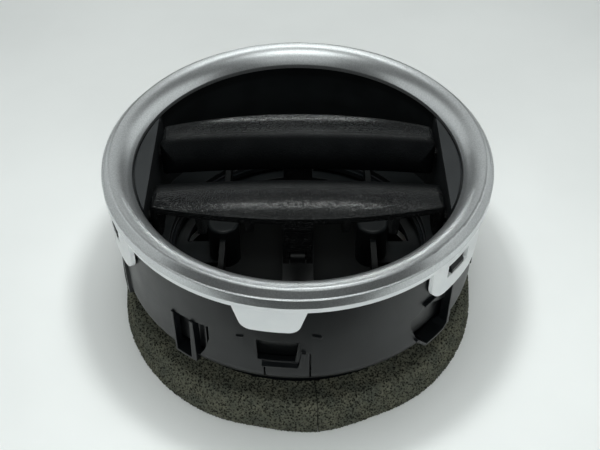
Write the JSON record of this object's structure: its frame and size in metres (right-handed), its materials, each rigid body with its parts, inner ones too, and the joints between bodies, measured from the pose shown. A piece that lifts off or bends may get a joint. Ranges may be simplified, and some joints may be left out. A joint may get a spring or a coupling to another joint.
{
  "type": "dashboard air vent",
  "caption": "Round dashboard air vent: silver bezel, turning barrel with linked tilting fins, and a foam-sealed duct collar.",
  "frame": {"origin": "centre of the foam seal's resting face, on the vent's axis", "axes": "+Z out of the vent's face along its axis, +X along the fins, +Y towards the upper fin"},
  "size_m": [0.0966, 0.0966, 0.0518],
  "materials": {
    "satin_silver_paint": "satin silver paint over moulded ABS",
    "white_plastic": "unpainted cool white moulded plastic",
    "black_housing_plastic": "black moulded polypropylene, semi-gloss",
    "open_cell_foam": "open-cell polyurethane foam",
    "matte_cheek_plastic": "matte moulded ABS",
    "grained_fin_plastic": "moulded ABS with a fine leather grain",
    "black_barrel_plastic": "black moulded plastic",
    "zinc_steel": "zinc-plated steel screw",
    "natural_acetal": "natural acetal, smooth",
    "felt": "pressed felt"
  },
  "bodies": {
    "housing": {"housing": "black_housing_plastic", "bezel_ring": "satin_silver_paint", "clip_ring": "white_plastic", "foam_seal": "open_cell_foam", "glide_ring": "natural_acetal"},
    "barrel": {"barrel": "black_barrel_plastic", "left_cheek": "matte_cheek_plastic", "right_cheek": "matte_cheek_plastic", "fin_bush_1": "natural_acetal", "fin_bush_2": "natural_acetal", "fin_bush_3": "natural_acetal", "fin_bush_4": "natural_acetal", "rear_retainer": "black_barrel_plastic", "brake_pad_1": "felt", "brake_pad_2": "felt", "brake_pad_3": "felt", "retainer_screw_left": "zinc_steel", "retainer_screw_right": "zinc_steel"},
    "upper_fin": {"upper_fin": "grained_fin_plastic"},
    "lower_fin": {"lower_fin": "grained_fin_plastic"},
    "fin_link": {"fin_link": "black_barrel_plastic"}
  },
  "joints": [
    {"name": "barrel_turn", "type": "hinge", "parent": "housing", "child": "barrel", "pos_m": [0, 0, 0.03], "axis": [0, 0, 1], "continuous": true},
    {"name": "fin_tilt", "type": "hinge", "parent": "barrel", "child": "upper_fin", "pos_m": [0, 0.012, 0.0403], "axis": [1, 0, 0], "range_deg": [-30, 30]},
    {"name": "lower_fin_tilt", "type": "hinge", "parent": "barrel", "child": "lower_fin", "pos_m": [0, -0.012, 0.0403], "axis": [1, 0, 0], "range_deg": [-30, 30]},
    {"name": "link_swing", "type": "hinge", "parent": "upper_fin", "child": "fin_link", "pos_m": [0, 0.012, 0.026], "axis": [1, 0, 0], "range_deg": [-30, 30]}
  ],
  "couplings": [
    {"joint": "lower_fin_tilt", "follows": "fin_tilt", "ratio": 1},
    {"joint": "link_swing", "follows": "fin_tilt", "ratio": -1}
  ]
}
